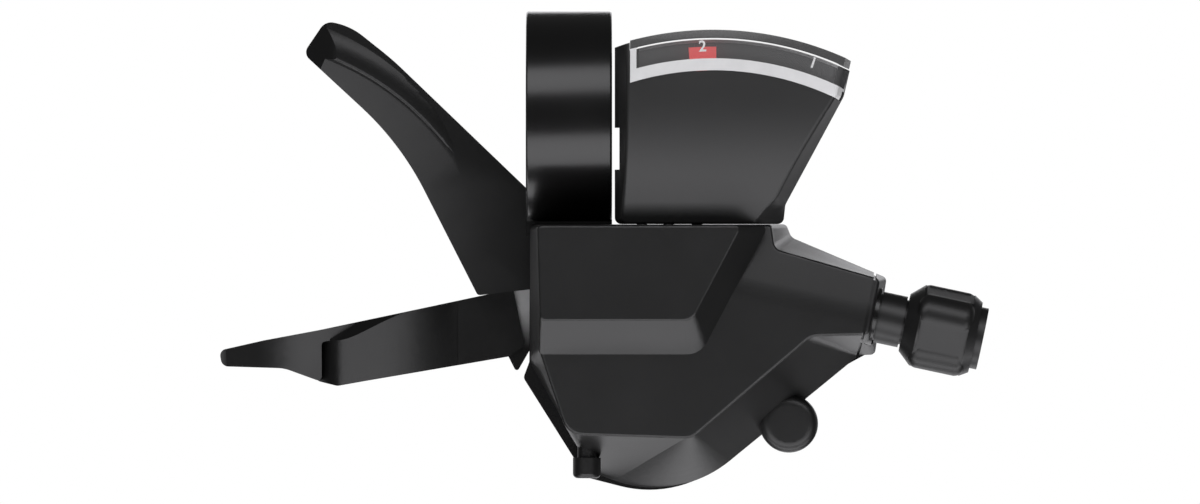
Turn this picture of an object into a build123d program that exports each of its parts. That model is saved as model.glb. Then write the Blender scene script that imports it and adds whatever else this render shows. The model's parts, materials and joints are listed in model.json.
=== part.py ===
from build123d import *
from math import asin, cos, degrees, hypot, radians, sin, tan
import os

os.makedirs("parts", exist_ok=True)

# Frame: the handlebar axis is X with its middle at the origin, the rider looks along +Y, Z is up in view.
# Depths run along Y: a smaller depth lies nearer the rider.

# Fits shared by all pieces
GAP = 0.3
RUNNING_FIT = 0.05
FAR = 100.0

# Handlebar clamp
BAR_RADIUS = 11.1
BAND_RADIUS = 16.0
BAND_WIDTH = 13.0
BAND_EDGE = 0.4
SPLIT_GAP = 2.0
LUG_TOP = 6.5
LUG_BACK = 23.3
LUG_WIDTH = 10.0
LUG_CORNER = 2.0
BOLT_DEPTH = 19.0
BOLT_RADIUS = 2.5
BOLT_HEAD_RADIUS = 4.1
BOLT_HEAD_HEIGHT = 4.6
BOLT_KEY = 4.0
BOLT_END = -8.0

# Depth levels of the body
PLATFORM_FACE = -21.0
DECK_FACE = -16.5
PARTING = -3.0
FLOOR_FRONT = 7.0
FLOOR_BACK = 10.0
WALL = 2.0
DECK_WALL = 1.6

# Outlines of the top cover as (X, Z) with a corner radius each, clockwise from the top left
DECK = [(-5.0, -16.3), (29.9, -16.3), (30.6, -20.2), (46.7, -24.5), (45.1, -32.9), (36.3, -33.1),
        (18.4, -48.4), (-0.4, -47.8), (-4.5, -35.0)]
DECK_CORNERS = [1.0, 0.8, 1.5, 0.8, 1.2, 3.0, 2.2, 3.5, 3.0]
DECK_EDGE = 0.5
SKIRT = [(-5.9, -16.2), (32.8, -16.2), (33.6, -18.2), (48.0, -24.3), (46.2, -35.9), (43.8, -36.0),
         (16.4, -58.4), (3.5, -53.7), (-5.9, -37.0)]
SKIRT_CORNERS = [1.0, 0.8, 1.5, 0.8, 0.8, 1.2, 17.9, 2.0, 3.0]
PLATFORM_TOP = [(-4.8, -16.3), (26.0, -16.3), (18.5, -30.6), (-4.4, -30.6)]
PLATFORM_FOOT = [(-5.0, -16.3), (30.1, -16.3), (19.8, -35.8), (-4.6, -35.8)]
PLATFORM_TOP_CORNERS = [0.8, 0.8, 2.0, 0.8]
PLATFORM_FOOT_CORNERS = [0.8, 0.8, 3.4, 0.8]
PLATFORM_EDGE = 0.5
PLATFORM_ROOT = 2.5
INNER_CORNER = 0.5
FRONT_FACING = 0.9
COLLAR_LENGTH = 1.5
COLLAR_GROOVE = 0.4
ARM_CREST = (34.9, -29.5)
ARM_ROLL_RADIUS = 16.0
ARM_ROLL_TILT = 13.0

# Bracket tray outline, clockwise from the top left
TRAY = [(-5.9, -16.2), (31.0, -16.2), (37.0, -21.0), (37.0, -41.0), (16.4, -58.0), (1.6, -54.2),
        (0.9, -51.8), (-6.9, -39.4), (-6.0, -37.0)]
TRAY_CORNERS = [1.0, 2.0, 2.0, 2.0, 17.5, 0.8, 1.0, 0.9, 1.0]
ARM_PLATE = [(32.0, -18.4), (47.3, -24.6), (45.7, -35.4), (36.5, -40.4)]
ARM_PLATE_CORNER = 0.6
ARM_PLATE_BACK = -0.6
FOOT_TOP = -12.5
FOOT_BOTTOM = -18.0

# Screws that hold the cover, entered from behind
EAR = (33.2, -46.3)
EAR_RADIUS = 4.4
EAR_FACE = -7.0
EAR_EDGE = 1.6
POSTS = [(-2.2, -20.2), (-1.0, -42.0)]
POST_RADIUS = 2.2
SCREW_RADIUS = 1.1
SCREW_HEAD_RADIUS = 2.1
SCREW_HEAD_HEIGHT = 1.5
SCREW_TIP = -6.2
SCREW_SLOT = 0.5

# Cable hole plug
PLUG_X = 2.7
PLUG_CORNER = 7
PLUG_PROUD = 0.8
PLUG_HEAD_HEIGHT = 3.1
PLUG_STEM_LENGTH = 4.4
PLUG_RADIUS = 2.1
PLUG_EDGE = 0.7
PLUG_STEM_RADIUS = 1.5

# Display body: front and rear outlines clockwise from the bottom left, face rolled about X
NEEDLE_PIVOT = (21.7, -35.6)
FAN_BOTTOM = -16.2
FAN_TOP = 16.0
FAN_FRONT = [(8.7, FAN_BOTTOM), (8.7, FAN_TOP), (43.0, FAN_TOP), (40.2, 3.0), (30.6, -11.8),
             (23.7, FAN_BOTTOM)]
FAN_REAR = [(6.9, FAN_BOTTOM), (6.9, FAN_TOP), (44.4, FAN_TOP), (41.4, 3.0), (32.6, -13.3),
            (32.3, FAN_BOTTOM)]
FAN_FRONT_CORNERS = [1.0, 1.0, 1.0, 2.0, 5.0, 1.0]
FAN_REAR_CORNERS = [1.0, 1.0, 1.0, 2.0, 1.5, 1.0]
FAN_FACE_RADIUS = 40.0
FAN_FACE_DEPTH = -21.6
FAN_FACE_MIDDLE = 3.0
FAN_BACK = -12.1
FAN_WALL = 1.2
FAN_EDGE = 0.7
CHEEK_RADIUS = 48.3
SLIT_LOW = -8.0
SLIT_HIGH = -1.7
SLIT_RIGHT = 7.6

# Lens, dial and needle, radii about the needle pivot and angles clockwise from straight up
LENS_OUTER = 48.6
LENS_INNER = 42.5
LENS_LEFT = 9.2
LENS_WALL = 1.1
LENS_FRONT_WALL = 1.4
DIAL_THICKNESS = 0.8
NEEDLE_FRONT = -15.5
NEEDLE_LOW_FRONT = -14.5
NEEDLE_THICKNESS = 0.8
NEEDLE_REST = -2.0
NEEDLE_TRAVEL = 21.0
NEEDLE_LEAN = 5.0
NEEDLE_WIDTH = 1.6
NEEDLE_KNEE = 26.0
NEEDLE_JOG_LOW = -10.0
NEEDLE_JOG_HIGH = -5.0
NEEDLE_HUB_RADIUS = 3.0
NEEDLE_HUB_BACK = -13.1
NEEDLE_SLOT_MARGIN = 1.5
MARKER_HALF_ANGLE = 2.6
MARKER_LOW = 44.2
MARKER_HIGH = 46.1
PIVOT_RADIUS = 1.4
CLIP_RADIUS = 2.4
CLIP_BACK = -12.4
DISPLAY_SCREWS = [11.0, 15.0]
DISPLAY_SCREW_DEPTH = -15.0
DISPLAY_SCREW_RADIUS = 0.8
DISPLAY_SCREW_HEAD = 1.4
DISPLAY_SCREW_HEAD_HEIGHT = 1.0
DISPLAY_SCREW_REACH = 2.6
DISPLAY_BOSS_RADIUS = 1.8

# Cable spool and ratchet
SPOOL = (14.0, -35.0)
SPOOL_FRONT = -12.1
SPOOL_BACK = -8.0
CABLE_DEPTH = -10.0
CABLE_RADIUS = 11.5
FLANGE_RADIUS = 12.1
GROOVE_WIDTH = 1.5
NIPPLE_RADIUS = 2.3
NIPPLE_ANGLE = 190.0
SPOOL_WINDOWS = 3
SPOOL_WINDOW_RADIUS = 1.4
SPOOL_WINDOW_PITCH = 9.0
SPOOL_WINDOW_STEP = 45.0
AXLE_RADIUS = 2.5
AXLE_HEAD_RADIUS = 3.2
AXLE_HEAD_FRONT = -13.3
AXLE_FLANGE_RADIUS = 4.0
AXLE_FLANGE_BACK = 11.2
HUB_RADIUS = 3.6
HUB_BACK = -5.6
TEETH = 11
RATCHET_TIP = 9.2
RATCHET_ROOT = 7.8
RATCHET_BACK = -6.5
RATCHET_START = 55.0
SPOOL_TRAVEL = 360.0 / TEETH
FOLLOWER = (17.9, -31.4)
FOLLOWER_RADIUS = 0.7
FOLLOWER_END = -11.4
CAM_DEPTH = 1.0
CAM_OVERRUN = 6.0
CAM_STEPS = 8
SPRING_WIRE = 0.45
SPOOL_SPRING_RADIUS = 4.3
SPOOL_SPRING_PITCH = 2.6
WASHER_THICKNESS = 0.8

# Levers on their common axle
LEVER_PIVOT = (1.5, -26.0)
LEVER_AXLE_RADIUS = 2.5
LEVER_AXLE_FRONT = -6.8
LEVER_AXLE_BACK = 23.6
CRANK_FRONT = -6.2
CRANK_BACK = -4.7
CRANK_HUB = 4.4
CRANK_TIP = 1.6
FEED_PIN_RADIUS = 4.6
FEED_PIN_ANGLE = 22.0
FEED_PIN = 0.8
FEED_PAWL_WIDTH = 2.6
FEED_NOSE_RADIUS = 5.2
FEED_NOSE_ANGLE = -15.8
FEED_NOSE = 0.3
PAWL_FRONT = -7.6
PAWL_BACK = -6.5
THUMB_SPRING_RADIUS = 3.7
THUMB_SPRING_PITCH = 2.2
RELEASE_SPRING_RADIUS = 4.0
RELEASE_SPRING_PITCH = 1.3

# Release lever: outline clockwise from the tip, its front turned about the centre of its bend
RELEASE_HUB_FRONT = 13.5
RELEASE_BACK = 16.0
RELEASE_TAB_RADIUS = 11.5
RELEASE_TAB_ANGLE = 9.0
RELEASE_TAB_PIN = 1.25
RELEASE_TRAVEL = 12.0
RELEASE_HUB = 5.0
RELEASE_ARM_END = 2.5
RELEASE_OUTLINE = [(-37.0, 14.7), (-33.2, 13.9), (-26.8, 8.8), (-6.5, -10.7), (1.0, -17.0), (8.0, -21.0),
                   (7.6, -30.6), (0.5, -32.0), (-3.6, -25.8), (-13.9, -27.0), (-25.65, -3.9), (-40.4, 9.75)]
RELEASE_CORNERS = [2.0, 10.0, 40.0, 20.0, 4.0, 4.5, 4.5, 4.0, 3.0, 0.6, 45.0, 1.4]
RELEASE_TIP_PLAN = [(-42.0, 14.2), (-34.9, 10.0), (20.0, 10.0), (20.0, RELEASE_BACK), (-42.0, RELEASE_BACK)]
RELEASE_TIP_CORNERS = [0.4, 6.0, 0.4, 0.4, 0.4]
RELEASE_BEND = (-52.0, -29.1)
RELEASE_FACING = 46.0
CREASE_RADIUS = 40.9
BLADE_HEIGHT = 4.0
BLADE_FALL = 13.0
BLADE_RUNOUT = 2.6
BEAD_HEIGHT = 4.35
BEAD_RUNOUT = 5.0
BEAD_CREST = 0.95
BEAD_RADIUS = 6.4
BEAD_REACH = 5.9
BEAD_FOOT = -0.2
BEAD_DROP = 1.6
BEAD_SHOULDER = (0.45, 0.25)
BEAD_SHOULDER_RADIUS = 0.62

# Thumb lever
THUMB_PLATE_FRONT = 17.7
THUMB_PLATE_BACK = 19.7
THUMB_PLATE = [(-16.0, -28.5), (-9.0, -26.8), (-3.0, -21.5), (2.0, -20.0), (7.0, -24.0), (6.0, -31.0),
               (-2.0, -33.0), (-5.7, -34.8), (-8.0, -38.8), (-9.4, -36.0), (-16.0, -36.0)]
THUMB_PLATE_CORNERS = [1.0, 3.0, 3.0, 4.5, 4.5, 4.5, 2.0, 0.8, 0.4, 0.6, 1.0]
THUMB_OUTLINE = [(-38.6, -32.4), (-22.5, -29.0), (-8.5, -26.0), (-6.8, -34.6), (-9.2, -36.3),
                 (-31.4, -40.1), (-35.3, -40.8), (-38.6, -40.0)]
THUMB_CORNERS = [0.8, 20.0, 0.5, 0.8, 0.5, 6.0, 1.5, 0.8]
THUMB_STEP = -16.9
THUMB_ROOT_FRONT = 17.0
THUMB_ROOT_BACK = 22.0
THUMB_FACE = [(-16.0, 17.2, -32.2, 0.0), (-22.0, 17.2, -33.4, 3.0), (-28.0, 17.9, -34.6, 12.0),
              (-32.6, 18.0, -35.5, 13.0), (-35.2, 18.7, -36.0, 13.0), (-37.2, 20.6, -36.4, 13.0),
              (-38.7, 24.0, -36.7, 13.0)]
THUMB_FACE_HALF = 6.5
THUMB_FACE_BACK = 33.0
THUMB_PLAN = [(-16.0, 15.0), (-38.5, 15.0), (-38.5, 27.0), (-16.0, 23.4)]
THUMB_PLAN_CORNERS = [0.3, 0.3, 1.0, 0.3]
THUMB_BROW = [(-26.9, 17.0, -30.35), (-33.5, 17.7, -34.1)]
THUMB_BROW_TILT = 42.0
PADDLE = [(-53.3, -35.4), (-46.7, -33.9), (-29.0, -30.6), (-33.0, -33.3), (-37.7, -34.1), (-37.7, -40.2),
          (-43.4, -38.1), (-52.9, -37.8)]
PADDLE_CORNERS = [1.0, 8.0, 0.3, 3.0, 0.6, 0.6, 6.0, 1.2]
PADDLE_FACE = [(-28.5, 21.6, -36.4, 20.0), (-37.0, 19.9, -36.4, 20.0), (-41.0, 18.9, -36.2, 14.0),
               (-46.0, 18.6, -36.0, 2.0), (-54.0, 18.6, -36.0, 0.0)]
PADDLE_PLAN = [(-53.4, 15.0), (-29.0, 15.0), (-29.0, 31.0), (-53.4, 31.0)]
PADDLE_PLAN_CORNERS = [8.0, 1.0, 7.0, 5.0]
LEVER_WASHER_FRONT = 16.3
LEVER_WASHER_RADIUS = 4.6
NUT_BACK = 22.8
NUT_ACROSS = 8.0

# Stop pawl
STOP_PIVOT = (25.0, -23.0)
STOP_PIN_RADIUS = 1.2
STOP_PIN_HEAD = 1.8
STOP_PIN_HEAD_HEIGHT = 0.6
STOP_NOSE_ANGLE = 72.0
STOP_NOSE_LENGTH = 2.4
STOP_PAWL_WIDTH = 3.6
STOP_LIFT_ARM = 1.2
STOP_SPRING_RADIUS = 2.0
STOP_SPRING_PITCH = 1.8

# Barrel adjuster, lengths measured along its axis from the start of the full-width knob
ADJUSTER_START = (52.85, -31.5)
ADJUSTER_TILT = 12.0
ARM_END = -6.6
KNOB_RADIUS = 6.85
KNOB_BASE_RADIUS = 6.2
KNOB_BASE_START = -0.3
KNOB_FLAT = 5.7
KNOB_NECK_RADIUS = 4.4
KNOB_NECK_START = -2.3
KNOB_LENGTH = 7.3
KNOB_END = 9.7
KNOB_END_RADIUS = 4.7
KNOB_SHOULDER = 5.4
KNOB_SHOULDER_END = 8.6
KNOB_LOBES = 4
KNOB_LOBE_TURN = -30.0
KNOB_LOBE_START = -0.9
KNOB_LOBE_END = 7.9
KNOB_LOBE_RADIUS = 3.2
KNOB_LOBE_EDGE = 1.6
CASING_RADIUS = 2.6
CASING_DEPTH = 8.0
CASING_FLOOR = 0.8
INNER_CABLE_RADIUS = 0.9
SLEEVE_RADIUS = 3.9
SPIGOT_RADIUS = 3.4
SPIGOT_LENGTH = 0.8
SLEEVE_TAIL_RADIUS = 3.6
SLEEVE_TAIL = -11.5
THREAD_RADIUS = 2.5
THREAD_END = -22.5
BOSS_RADIUS = 4.4
BOSS_END = -23.5
COUNTERBORE_END = -15.5
ADJUSTER_SPRING_RADIUS = 3.05
ADJUSTER_SPRING_WIRE = 0.22
ADJUSTER_SPRING_PITCH = 1.2


def level(depth):
    """Sketch plane facing the rider, local x is X and local y is Z."""
    return Plane(origin=(0, depth, 0), x_dir=(1, 0, 0), z_dir=(0, -1, 0))


def slab(sketch, back, front):
    """Solid that fills a sketch between two depths."""
    return extrude(level(back) * sketch, amount=back - front)


def rounded(points, corners):
    """Closed outline with a radius at each corner."""
    return make_face(FilletPolyline(*points, radius=corners, close=True))


def upright(points, corners):
    """Tall solid over a plan outline given as (X, Y)."""
    return extrude(Plane.XY * rounded(points, corners), amount=FAR, both=True)


def peg(spot, radius, back, front):
    """Round rod along Y."""
    return slab(Pos(*spot) * Circle(radius), back, front)


def through(spot, radius):
    """Round hole along Y through everything."""
    return peg(spot, radius, FAR, -FAR)


def tube(spot, radius, bore, back, front):
    """Round tube along Y."""
    return slab(Pos(*spot) * (Circle(radius) - Circle(bore)), back, front)


def rod(x, y, radius, low, high):
    """Round rod along Z."""
    return Pos(x, y, (low + high) / 2) * Cylinder(radius, high - low)


def block(low, high):
    """Box between two opposite corners."""
    size = [h - l for l, h in zip(low, high)]
    middle = [(h + l) / 2 for l, h in zip(low, high)]
    return Pos(*middle) * Box(*size)


def link(first, first_radius, second, second_radius):
    """Outline of a flat link with two round ends."""
    ends = Pos(*first) * Circle(first_radius) + Pos(*second) * Circle(second_radius)
    return make_hull(ends.edges())


def inset(points, distance):
    """Corner points of a clockwise outline moved inwards by a distance."""
    lines = []
    for (x0, z0), (x1, z1) in zip(points, points[1:] + points[:1]):
        length = hypot(x1 - x0, z1 - z0)
        along = ((x1 - x0) / length, (z1 - z0) / length)
        lines.append((x0 + along[1] * distance, z0 - along[0] * distance, along))
    moved = []
    for (xa, za, a), (xb, zb, b) in zip(lines[-1:] + lines[:-1], lines):
        step = ((xb - xa) * b[1] - (zb - za) * b[0]) / (a[0] * b[1] - a[1] * b[0])
        moved.append((xa + a[0] * step, za + a[1] * step))
    return moved


def inner(corners, distance):
    """Corner radii that belong to an outline moved inwards."""
    return [max(radius - distance, INNER_CORNER) for radius in corners]


def polar(centre, radius, angle):
    """Point at a radius and an angle, counted from +X towards +Z."""
    return (centre[0] + radius * cos(radians(angle)), centre[1] + radius * sin(radians(angle)))


def clockwise(centre, spot, angle):
    """Point turned clockwise in the rider's view."""
    x = spot[0] - centre[0]
    z = spot[1] - centre[1]
    c = cos(radians(angle))
    s = sin(radians(angle))
    return (centre[0] + x * c + z * s, centre[1] - x * s + z * c)


def lofted(front, front_corners, front_depth, rear, rear_corners, rear_depth):
    """Straight-sided solid between two outlines."""
    front_face = level(front_depth) * rounded(front, front_corners)
    rear_face = level(rear_depth) * rounded(rear, rear_corners)
    return loft([front_face, rear_face], ruled=True)


def helix(radius, wire, pitch, length):
    """Helical wire about Z, its ends a gap inside the given length."""
    path = Helix(pitch=pitch, height=length - 2 * wire - 2 * GAP, radius=radius)
    section = Plane(origin=path @ 0, z_dir=path % 0) * Circle(wire)
    return Pos(0, 0, wire + GAP) * sweep(section, path=path, is_frenet=True)


def coil(spot, radius, pitch, back, front):
    """Helical spring along Y between two depths."""
    place = Plane(origin=(spot[0], back, spot[1]), x_dir=(1, 0, 0), z_dir=(0, -1, 0))
    return place * helix(radius, SPRING_WIRE, pitch, back - front)


def turned(points):
    """Solid of revolution about Z from (radius, height) points."""
    return revolve(Plane.XZ * make_face(Polyline(*points, close=True)), axis=Axis.Z)


def along_adjuster(shape):
    """Move a solid built about Z onto the adjuster axis."""
    direction = (cos(radians(ADJUSTER_TILT)), 0, -sin(radians(ADJUSTER_TILT)))
    spot = (ADJUSTER_START[0], CABLE_DEPTH, ADJUSTER_START[1])
    return Plane(origin=spot, x_dir=(0, -1, 0), z_dir=direction) * shape


def adjuster_rod(radius, start, end):
    """Round rod on the adjuster axis."""
    return along_adjuster(rod(0, 0, radius, start, end))


def arm_roll(deck_depth):
    """Region cut from the deck so that the upper half of the arm rolls back."""
    tilt = radians(ADJUSTER_TILT)
    place = Plane(origin=(ARM_CREST[0], deck_depth, ARM_CREST[1]), x_dir=(sin(tilt), 0, cos(tilt)),
                  z_dir=(cos(tilt), 0, -sin(tilt)))
    bend = CenterArc((0, -ARM_ROLL_RADIUS), ARM_ROLL_RADIUS, 90, -ARM_ROLL_TILT)
    end = bend @ 1
    slope = tan(radians(ARM_ROLL_TILT))
    edge = Polyline(end, (FAR, end.Y - (FAR - end.X) * slope), (FAR, FAR), (0, FAR), (0, 0))
    return extrude(place * make_face([bend, edge]), amount=FAR, both=True)


def outer_rim(shape):
    """Edges where the faces that look at the rider meet the sides."""
    rim = shape.faces().filter_by(lambda face: face.normal_at().Y < -FRONT_FACING).edges()
    return [edge for edge in rim if rim.count(edge) == 1]


def cover_shape(shrink, front_wall):
    """Cover body, or its cavity when shrunk."""
    if shrink:
        radii = [inner(c, shrink) for c in
                 (DECK_CORNERS, SKIRT_CORNERS, PLATFORM_TOP_CORNERS, PLATFORM_FOOT_CORNERS)]
    else:
        radii = [DECK_CORNERS, SKIRT_CORNERS, PLATFORM_TOP_CORNERS, PLATFORM_FOOT_CORNERS]
    deck_depth = DECK_FACE + front_wall
    top_depth = PLATFORM_FACE + front_wall
    foot = inset(PLATFORM_FOOT, shrink)
    body = lofted(inset(DECK, shrink), radii[0], deck_depth, inset(SKIRT, shrink), radii[1], PARTING)
    body -= arm_roll(deck_depth)
    raised = lofted(inset(PLATFORM_TOP, shrink), radii[2], top_depth, foot, radii[3], deck_depth)
    if not shrink:
        body = fillet(outer_rim(body), DECK_EDGE)
        raised = fillet(raised.edges().group_by(Axis.Y)[0], PLATFORM_EDGE)
    root = slab(rounded(foot, radii[3]), deck_depth + PLATFORM_ROOT, deck_depth)
    return body + raised + root


def fan_shape(shrink):
    """Display body with its rolled face, or its hollow when shrunk."""
    front_corners = inner(FAN_FRONT_CORNERS, shrink)
    rear_corners = inner(FAN_REAR_CORNERS, shrink)
    front = inset(FAN_FRONT, shrink)
    rear = inset(FAN_REAR, shrink)
    body = lofted(front, front_corners, FAN_FACE_DEPTH, rear, rear_corners, FAN_BACK)
    middle = (0, FAN_FACE_DEPTH + FAN_FACE_RADIUS, FAN_FACE_MIDDLE)
    return body & (Pos(*middle) * Rot(0, 90, 0) * Cylinder(FAN_FACE_RADIUS - shrink, 2 * FAR))


def twisted_face(sections):
    """Solid behind a face that runs through sections of X, depth, middle height and lean."""
    outlines = []
    for x, depth, height, twist in sections:
        lean = THUMB_FACE_HALF * tan(radians(twist))
        top = height + THUMB_FACE_HALF
        bottom = height - THUMB_FACE_HALF
        back = [(THUMB_FACE_BACK, bottom), (THUMB_FACE_BACK, top)]
        outline = Polyline((depth - lean, top), (depth + lean, bottom), *back, close=True)
        outlines.append(Plane.YZ.offset(x) * make_face(outline))
    return loft(outlines)


def release_turned(profile, runout):
    """Solid turned about the release lever's bend, leaning so that its front runs out at the root."""
    lean = sin(radians(runout))
    facing = radians(RELEASE_FACING)
    rise = (sin(facing) * lean, -cos(radians(runout)), -cos(facing) * lean)
    spot = (RELEASE_BEND[0], RELEASE_BACK, RELEASE_BEND[1])
    place = Plane(origin=spot, x_dir=(cos(facing), 0, sin(facing)), z_dir=rise)
    return place * revolve(Plane.XZ * profile, axis=Axis.Z)


def ring(outer, hole, back, front):
    """Flat ring about the needle pivot between two depths."""
    return tube(NEEDLE_PIVOT, outer, hole, back, front)


def from_left(x):
    """Everything to the right of a given X."""
    return block((x, -FAR, -FAR), (FAR, FAR, FAR))


# Needle slot shared by the cover and the display housing
slot_top = FAN_BOTTOM + FAN_WALL + GAP
slot_reach = slot_top - NEEDLE_PIVOT[1]
slot_side = NEEDLE_WIDTH / 2 + GAP
lean_left = radians(NEEDLE_LEAN - NEEDLE_REST + NEEDLE_SLOT_MARGIN)
lean_right = radians(NEEDLE_REST + NEEDLE_TRAVEL - NEEDLE_LEAN + NEEDLE_SLOT_MARGIN)
foot_left = (NEEDLE_PIVOT[0] - slot_side, NEEDLE_PIVOT[1])
foot_right = (NEEDLE_PIVOT[0] + slot_side, NEEDLE_PIVOT[1])
top_left = (foot_left[0] - slot_reach * tan(lean_left), slot_top)
top_right = (foot_right[0] + slot_reach * tan(lean_right), slot_top)
needle_swing = make_face(Polyline(foot_left, top_left, top_right, foot_right, close=True))
needle_slot = slab(needle_swing, NEEDLE_LOW_FRONT + NEEDLE_THICKNESS + GAP, NEEDLE_LOW_FRONT - GAP)

# Top cover
cover_outside = cover_shape(0, 0)
collar_cut = along_adjuster(Pos(0, 0, ARM_END - COLLAR_LENGTH) * Box(FAR, FAR, COLLAR_GROOVE))
collar_groove = (cover_outside & collar_cut) - cover_shape(COLLAR_GROOVE, COLLAR_GROOVE)
ear = peg(EAR, EAR_RADIUS, PARTING, EAR_FACE)
ear = fillet(ear.edges().group_by(Axis.Y)[0], EAR_EDGE)
cover = cover_outside - collar_groove + ear - cover_shape(WALL, DECK_WALL)
post_front = DECK_FACE + DECK_WALL / 2
for spot in POSTS:
    cover += peg(spot, POST_RADIUS, PARTING, post_front) & cover_outside
cover -= needle_slot
cover += peg(NEEDLE_PIVOT, PIVOT_RADIUS, CLIP_BACK, post_front)
for spot in POSTS + [EAR]:
    cover -= peg(spot, SCREW_RADIUS, PARTING, SCREW_TIP - GAP)
cover -= adjuster_rod(BOSS_RADIUS + RUNNING_FIT, BOSS_END - GAP, KNOB_NECK_START)
tack_top = FAN_BOTTOM + DISPLAY_SCREW_REACH
tack_seat = PLATFORM_TOP[0][1] - WALL
for x in DISPLAY_SCREWS:
    cover -= rod(x, DISPLAY_SCREW_DEPTH, DISPLAY_SCREW_RADIUS, tack_seat - WALL, tack_top)
plug_end = SKIRT[PLUG_CORNER][1] - PLUG_PROUD
plug_seat = plug_end + PLUG_HEAD_HEIGHT
plug_top = plug_seat + PLUG_STEM_LENGTH
cover -= rod(PLUG_X, CABLE_DEPTH, PLUG_STEM_RADIUS, plug_end, plug_top + WALL)
cover -= rod(PLUG_X, CABLE_DEPTH, PLUG_RADIUS + RUNNING_FIT, plug_end, plug_seat)
export_step(cover, "parts/top_cover.step")

# Cable hole plug with a slotted head
plug = rod(PLUG_X, CABLE_DEPTH, PLUG_RADIUS, plug_end, plug_seat)
plug = fillet(plug.edges().group_by(Axis.Z)[0], PLUG_EDGE)
plug += rod(PLUG_X, CABLE_DEPTH, PLUG_STEM_RADIUS - RUNNING_FIT, plug_seat, plug_top)
plug -= block((PLUG_X - PLUG_RADIUS, CABLE_DEPTH - SCREW_SLOT / 2, plug_end - SCREW_SLOT),
              (PLUG_X + PLUG_RADIUS, CABLE_DEPTH + SCREW_SLOT / 2, plug_end + SCREW_SLOT))
export_step(plug, "parts/cable_hole_plug.step")

# Bracket: clamp band, foot, tray and adjuster boss in one casting
bracket = extrude(Plane.YZ * Circle(BAND_RADIUS), amount=BAND_WIDTH / 2, both=True)
bracket = fillet(bracket.edges().filter_by(GeomType.CIRCLE), BAND_EDGE)
lugs = block((-LUG_WIDTH / 2, BAR_RADIUS, -LUG_TOP), (LUG_WIDTH / 2, LUG_BACK, LUG_TOP))
bracket += fillet(lugs.edges().filter_by(Axis.X).group_by(Axis.Y)[-1], LUG_CORNER)
bracket += block((-BAND_WIDTH / 2, PARTING + GAP, FOOT_BOTTOM), (BAND_WIDTH / 2, FLOOR_BACK, FOOT_TOP))
bracket -= Rot(0, 90, 0) * Cylinder(BAR_RADIUS, 2 * BAND_WIDTH)
bracket -= block((-BAND_WIDTH, 0, -SPLIT_GAP / 2), (BAND_WIDTH, FAR, SPLIT_GAP / 2))
bracket -= rod(0, BOLT_DEPTH, BOLT_RADIUS + RUNNING_FIT, BOLT_END, FAR)
tray = slab(rounded(TRAY, TRAY_CORNERS), FLOOR_BACK, PARTING)
tray += peg(EAR, EAR_RADIUS, FLOOR_BACK, PARTING)
tray -= slab(rounded(inset(TRAY, WALL), inner(TRAY_CORNERS, WALL)), FLOOR_FRONT, PARTING)
bracket += tray + slab(rounded(ARM_PLATE, ARM_PLATE_CORNER), ARM_PLATE_BACK, PARTING)
bracket += adjuster_rod(BOSS_RADIUS, BOSS_END, ARM_END)
rib_length = ARM_END - 2 * COLLAR_LENGTH - BOSS_END
rib = Pos((CABLE_DEPTH - PARTING) / 2, 0, BOSS_END + rib_length / 2)
bracket += along_adjuster(rib * Box(PARTING - CABLE_DEPTH, BOSS_RADIUS, rib_length))
for spot in POSTS:
    bracket += peg(spot, POST_RADIUS, FLOOR_BACK, PARTING)
for spot in POSTS + [EAR]:
    bracket -= peg(spot, SCREW_RADIUS + RUNNING_FIT, FLOOR_BACK, PARTING)
bracket -= adjuster_rod(SLEEVE_TAIL_RADIUS + RUNNING_FIT, COUNTERBORE_END, ARM_END)
bracket -= adjuster_rod(THREAD_RADIUS + RUNNING_FIT, BOSS_END, ARM_END)
bracket -= peg(LEVER_PIVOT, LEVER_AXLE_RADIUS + RUNNING_FIT, FLOOR_BACK, FLOOR_FRONT)
bracket -= peg(SPOOL, AXLE_RADIUS, FLOOR_BACK, FLOOR_FRONT)
bracket -= peg(STOP_PIVOT, STOP_PIN_RADIUS, FLOOR_BACK, FLOOR_FRONT)
tab_clear = RELEASE_TAB_PIN + GAP
tab_arc = CenterArc(LEVER_PIVOT, RELEASE_TAB_RADIUS, RELEASE_TAB_ANGLE, RELEASE_TRAVEL)
tab_slot = trace(tab_arc, 2 * tab_clear)
tab_slot += Pos(*(tab_arc @ 0)) * Circle(tab_clear) + Pos(*(tab_arc @ 1)) * Circle(tab_clear)
bracket -= slab(tab_slot, FLOOR_BACK, FLOOR_FRONT)
export_step(bracket, "parts/clamp_bracket.step")

# Clamp bolt with a hexagon socket
bolt = rod(0, BOLT_DEPTH, BOLT_RADIUS, BOLT_END, LUG_TOP)
head_top = LUG_TOP + BOLT_HEAD_HEIGHT
bolt += rod(0, BOLT_DEPTH, BOLT_HEAD_RADIUS, LUG_TOP, head_top)
key = RegularPolygon(BOLT_KEY / 2, 6, major_radius=False)
bolt -= extrude(Plane.XY.offset(head_top) * Pos(0, BOLT_DEPTH) * key, amount=-BOLT_HEAD_HEIGHT / 2)
export_step(bolt, "parts/clamp_bolt.step")

# Cover screws with slotted heads
screws = Part()
head_back = FLOOR_BACK + SCREW_HEAD_HEIGHT
for x, z in POSTS + [EAR]:
    screw = peg((x, z), SCREW_RADIUS, FLOOR_BACK, SCREW_TIP)
    screw += peg((x, z), SCREW_HEAD_RADIUS, head_back, FLOOR_BACK)
    screws += screw - block((x - SCREW_HEAD_RADIUS, head_back - SCREW_SLOT, z - SCREW_SLOT / 2),
                            (x + SCREW_HEAD_RADIUS, head_back, z + SCREW_SLOT / 2))
export_step(screws, "parts/cover_screws.step")

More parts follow.
